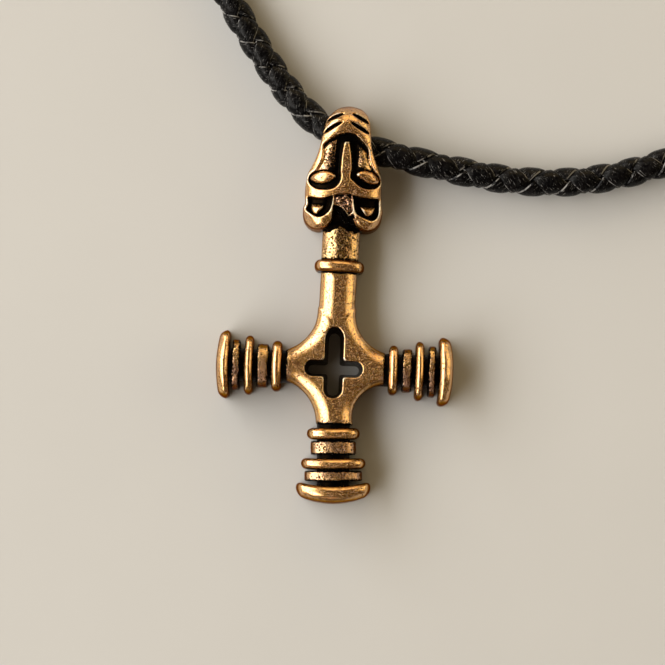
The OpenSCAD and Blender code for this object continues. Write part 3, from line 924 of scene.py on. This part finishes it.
def head_field(grid, flat, maps):
    """The head and the neck as one field."""
    x, y, z = grid.axis(0), grid.axis(1), grid.axis(2)
    head_x, head_y = turn_by(x, y, HEAD_LEAN)
    spot = (head_x[..., 0] + 0 * y[..., 0], head_y[..., 0])
    height = flat.sample(maps["height"], *spot)[..., None]
    outline = flat.sample(maps["outline"], *spot)[..., None]
    lean_x, lean_y = np.gradient(height[..., 0], grid.step)
    steep = np.sqrt(1 + np.minimum(lean_x ** 2 + lean_y ** 2, 9))[..., None]
    head = round_edge(outline, (z - height) / steep, 0.18)

    middle, half = (BAIL["low"] + BAIL["high"]) / 2, (BAIL["high"] - BAIL["low"]) / 2
    way = segment_distance(head_y, z, (BAIL["from"] + half, middle), (BAIL["to"] - half, middle)) - half
    head = -soft_min(-head, way, 0.3)

    rough = 0.6 * grid.noise(0.8, 21) + 0.55 * grid.noise(0.38, 22)
    flank = (np.abs(head_x) - NECK_WIDTH / 2 + 0.03 * rough) * SHOULDER / SHOULDER_REACH
    neck = round_edge(flank, z - BODY_HEIGHT + 0.04 * rough, SHOULDER, EVEN_SLOPE)
    neck = np.maximum(neck, np.maximum(NECK_FROM - head_y, head_y - NECK_TO))
    whole = soft_min(head, neck, 0.12)
    return round_edge(whole, -z, 0.22)


# Where painted shade darkens the brass as turned to the side: by how far it faces up, and how much more at
# the rings' ends
CROSS_SHADED_SIDE = {"from": 0.64, "to": 0.3, "ends": 0.8}
HEAD_SHADED_SIDE = {"from": 0.45, "to": 0.12, "ends": 0.0}
HOLLOW_REACH = 0.7
CREVICE_REACH = 0.28


def make_amulet():
    finish = antique_brass("antique_brass")
    cross_grid = Grid(*CROSS_BOX)
    field, parts = cross_field(cross_grid)
    cross, points = field_mesh("amulet_cross", cross_grid, field)
    at = {key: cross_grid.sample(values, *points.T) for key, values in parts.items()}
    drum = ease(-at["rough"], -0.03, 0.05)
    end = ease(-at["lip"], -0.1, 0.0) * (1 - drum)
    # Painted reflection: drums and plate ends are tinted copper on the arms' lower half (below y = 1), less
    # far down the foot, as if a reddish light shone from below.
    copper = ease(-points[:, 1], -1.4, 1.0) - 0.45 * ease(-points[:, 1], 5.0, 7.0)
    paint(cross, cross_grid, field, points, {
        "rough": np.maximum(0.7 * drum, 0.35 * end * ease(at["lip"], -0.9, -0.4)),
        "copper": np.maximum(drum, end) * copper,
        "black": at["wall"],
        "soot": drum * np.clip(1 + at["brink"] / 0.34, 0, 1) + end * np.clip(1 + at["lip"] / 0.4, 0, 1),
    }, CROSS_SHADED_SIDE)

    flat, maps = head_maps()
    head_grid = Grid(*HEAD_BOX)
    field = head_field(head_grid, flat, maps)
    head, points = field_mesh("amulet_head", head_grid, field)
    spot = turn_by(points[:, 0], points[:, 1], HEAD_LEAN)
    front = ease(points[:, 2], 3.6, 4.0)
    neck = ease(-spot[1], -19.0, -18.7) * ease(-np.abs(spot[0]), -2.7, -2.4)
    near_collar = np.clip(1 - (spot[1] - COLLAR[1]) / 0.55, 0, 1)
    middle = 0.22 + 0.26 * ease(-np.abs(spot[0] - 0.3), -1.4, -0.6)
    looks = {name: flat.sample(maps[name], *spot) * front for name in ("soot", "rough", "copper", "black")}
    looks["soot"] = np.maximum(looks["soot"], neck * np.maximum(near_collar, middle))
    looks["rough"] = np.maximum(looks["rough"], 0.55 * neck)
    paint(head, head_grid, field, points, looks, HEAD_SHADED_SIDE)

    for piece in (cross, head):
        piece.data.materials.append(finish)
        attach(piece, "root")
        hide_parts("amulet")


def paint(obj, grid, field, points, looks, flank):
    """Stores what the brass needs at each point: the looks given, what faces aside (which the brass gives
    painted shade), and what is hollow.
    """
    facing = unit(slope(grid, field, points))
    toward_ends = ease(np.abs(facing[:, 1]), 0.45, 0.85)
    aside = ease(-facing[:, 2], -flank["from"], -flank["to"])
    # flank: painted shade, later coloured dark brown, on what faces aside and on the rings' ends
    looks["flank"] = np.maximum(aside, flank["ends"] * toward_ends)
    looks["hollow"] = hollowness(grid, field, points, HOLLOW_REACH)
    looks["crevice"] = hollowness(grid, field, points, CREVICE_REACH)
    for name, values in looks.items():
        add_attribute(obj, name, values)


# What the amulet's and the clasp's points carry for the brass
BRASS_LOOKS = ("rough", "black", "flank", "hollow", "crevice", "soot", "copper")


def antique_brass(name):
    """Cast brass: polished where it stands proud, pitted and coppery where rough, black in the hollows; its
    pale edges are partly wear and partly painted highlight, the copper on the arms' lower halves is painted
    reflection, and what faces aside gets painted shade.
    """
    n = Nodes(name)
    where = n.stretch(n.add("ShaderNodeTexCoord").outputs["Object"], (1000, 1000, 1000))
    rough, black, flank, hollow, crevice, soot, coppery = (n.attribute(look) for look in BRASS_LOOKS)
    blotch = n.noise(where, 0.8, 3.0)
    grime = n.noise(where, 2.6, 4.0, 0.65)
    grain = n.noise(where, 9.0, 3.0, 0.6)
    grit = n.noise(where, 5.0, 3.0, 0.65)
    pits = n.most(n.ramp(n.noise(where, 4.2, 2.0, 0.5), 0.65, 0.69), n.ramp(n.cells(where, 1.8), 0.2, 0.13))
    specks = n.times(n.ramp(n.cells(where, 2.4), 0.35, 0.27), n.ramp(rough, 0.1, 0.5))
    pits = n.most(pits, specks)
    dust = n.ramp(n.noise(where, 6.5, 2.0, 0.5), 0.58, 0.67)

    patina = n.math("ADD", n.ramp(crevice, 0.05, 0.35), n.ramp(hollow, 0.12, 0.4))
    patina = n.math("ADD", patina, n.times(black, 1.3))
    patina = n.math("ADD", patina, n.ramp(grime, 0.35, 0.7, -0.35, 0.35))
    eaten = n.noise(where, 5.0, 4.0, 0.65)
    ragged = n.math("ADD", soot, n.ramp(eaten, 0.3, 0.7, -0.42, 0.42, smooth=False))
    dark = n.most(n.ramp(patina, 0.42, 0.66), n.ramp(ragged, 0.44, 0.54))
    dark = n.most(dark, n.times(pits, 0.9))

    brass = n.mix(n.ramp(blotch, 0.35, 0.65), (0.66, 0.30, 0.035, 1), (0.79, 0.42, 0.07, 1))
    brass = n.mix(n.ramp(grime, 0.42, 0.65, 0.0, 0.45), brass, (0.36, 0.15, 0.03, 1))
    patchy = n.ramp(blotch, 0.4, 0.6)
    gold = n.mix(patchy, (0.56, 0.27, 0.04, 1), (0.78, 0.45, 0.10, 1))
    copper = n.mix(patchy, (0.34, 0.13, 0.05, 1), (0.56, 0.27, 0.10, 1))
    # coppery: on the cross this is painted reflection on the arms' lower halves; on the head it is the
    # floors' and patch's tone.
    metal = n.mix(n.ramp(rough, 0.0, 0.5), brass, n.mix(coppery, gold, copper))
    # Convex edges are coloured pale cream and made rougher: partly bright wear on proud brass, partly a
    # painted highlight.
    proud = n.times(n.ramp(hollow, -0.16, 0.0, 1.0, 0.0), n.ramp(rough, 0.1, 0.4, 1.0, 0.0))
    edge_wear_and_highlight = n.times(n.ramp(crevice, -0.42, -0.26, 1.0, 0.0), proud)
    metal = n.mix(n.times(edge_wear_and_highlight, 0.8), metal, (0.97, 0.87, 0.66, 1))
    metal = n.mix(n.times(dust, n.ramp(rough, 0.0, 0.6, 0.5, 0.85)), metal, (0.16, 0.075, 0.02, 1))
    # Painted shade: surfaces turned aside and the rings' ends are coloured dark brown, standing in for the
    # dark surroundings they would reflect.
    metal = n.mix(n.times(flank, 0.88), metal, (0.11, 0.045, 0.008, 1))
    colour = n.mix(dark, metal, (0.002, 0.0018, 0.0018, 1))

    shine = n.ramp(grain, 0.3, 0.7, 0.17, 0.24)
    shine = n.between(edge_wear_and_highlight, shine, 0.4)
    n.set(Base_Color=colour, Metallic=n.ramp(dark, 0, 1, 1.0, 0.1))
    n.set(Roughness=n.between(dark, shine, n.ramp(grime, 0.35, 0.65, 0.15, 0.28)))
    n.set(Specular_IOR_Level=0.08, Specular_Tint=(0.6, 0.32, 0.10, 1))
    bare = n.most(n.most(dark, flank), n.times(rough, 0.2))
    n.set(Coat_Weight=n.ramp(bare, 0.0, 0.8, 1.0, 0.0), Coat_IOR=2.4, Coat_Roughness=0.12)
    relief = n.times(grain, n.ramp(rough, 0.0, 1.0, 0.14, 0.3))
    relief = n.math("ADD", relief, n.times(grit, n.ramp(rough, 0.0, 0.8, 0.0, 0.9)))
    relief = n.math("SUBTRACT", relief, n.times(n.most(pits, dust), 0.5))
    bumps = n.bump(relief, 0.00006, 0.9)
    n.set(Normal=bumps, Coat_Normal=bumps)
    return n.material


# Clasp: half of its profile, from the middle out and into a pocket: columns are place, radius and blackness
CLASP_AT = (88.0, 184.0, 3.0)
CLASP_WAY = (-0.8, 0.6, 0.0)
CLASP_PROFILE = [
    (0, 2.75, 1), (0.12, 2.78, 1), (0.3, 2.97, 0.2), (0.5, 3, 0), (6.6, 3, 0), (6.75, 2.95, 0.5),
    (6.9, 2.82, 1), (7.05, 2.95, 0.5), (7.2, 3, 0), (8.1, 3, 0), (8.25, 2.95, 0.5), (8.4, 2.82, 1),
    (8.55, 2.95, 0.5), (8.7, 3, 0), (9.5, 3, 0), (9.75, 2.92, 0), (9.93, 2.75, 0), (10, 2.55, 0),
    (10, 2.3, 0.1), (9.92, 2.16, 0.4), (9.75, 2.1, 1), (4.8, 2.1, 1), (4.8, 1, 1),
]
CLASP_SIDES = 64


def make_clasp():
    """A turned barrel with a pocket at each end for the cord."""
    half = np.array(CLASP_PROFILE)
    rows = np.vstack([half[::-1] * (-1, 1, 1), half[1:]])
    angle = np.linspace(0, 2 * math.pi, CLASP_SIDES, endpoint=False)
    along = np.array(CLASP_WAY)
    side = np.cross((0, 0, 1), along)
    rim = np.outer(np.cos(angle), side) + np.outer(np.sin(angle), (0, 0, 1))
    rings = np.array(CLASP_AT) + rows[:, None, :1] * along + rows[:, None, 1:2] * rim
    quads = tube_faces(len(rows), CLASP_SIDES)[:, ::-1]
    obj = make_mesh("clasp_barrel", rings.reshape(-1, 3), quads)
    black = np.repeat(rows[:, 2], CLASP_SIDES)
    for name in BRASS_LOOKS:
        add_attribute(obj, name, black if name == "black" else 0 * black)
    obj.data.materials.append(antique_brass("clasp_brass"))
    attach(obj, "root")
    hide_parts("clasp")
    return obj


# Floor and light
FLOOR_REACH = 1500


def make_floor():
    corners = [(x * FLOOR_REACH, y * FLOOR_REACH, 0) for x, y in ((-1, -1), (1, -1), (1, 1), (-1, 1))]
    obj = make_mesh("floor", corners, [(0, 1, 2, 3)])
    n = Nodes("pale_floor")
    where = n.add("ShaderNodeTexCoord").outputs["Object"]
    colour = n.mix(n.noise(where, 40.0), (0.55, 0.555, 0.56, 1), (0.58, 0.585, 0.59, 1))
    n.set(Base_Color=colour, Roughness=0.9)
    obj.data.materials.append(n.material)


# Area lights: columns are name, place, width, height, power in watts and colour
LIGHTS = [
    ("key", (-960, 80, 640), 720, 3000, 29.6, (1.0, 0.98, 0.95)),
    ("glow", (-960, 80, 660), 1200, 3000, 11.2, (1.0, 0.90, 0.68)),
    ("fill", (1120, 420, 370), 680, 1400, 5.2, (1.0, 0.82, 0.46)),
    ("top", (120, 1120, 430), 920, 840, 4.0, (1.0, 0.74, 0.38)),
    ("low", (-120, -1120, 460), 600, 400, 0.32, (1.0, 0.74, 0.58)),
]
LIGHTS_AIM = (0, 5, 2)
LIGHTS_UP = (0, 1, -0.1)
WORLD = (1.0, 0.68, 0.38)
WORLD_STRENGTH = 0.11


def make_lights():
    for name, at, width, height, power, colour in LIGHTS:
        data = bpy.data.lights.new(name, "AREA")
        data.shape = "RECTANGLE"
        data.size = width * MM
        data.size_y = height * MM
        data.energy = power
        data.color = colour
        place(add_object(name, data), at, LIGHTS_AIM, LIGHTS_UP)
    world = bpy.data.worlds.new("soft_room")
    world.use_nodes = True
    inputs = world.node_tree.nodes["Background"].inputs
    inputs["Color"].default_value = (*WORLD, 1)
    inputs["Strength"].default_value = WORLD_STRENGTH
    scene.world = world
    scene.view_settings.view_transform = "Standard"


make_camera()
cord_parts = make_cord()
make_amulet()
make_clasp()
make_floor()
make_lights()
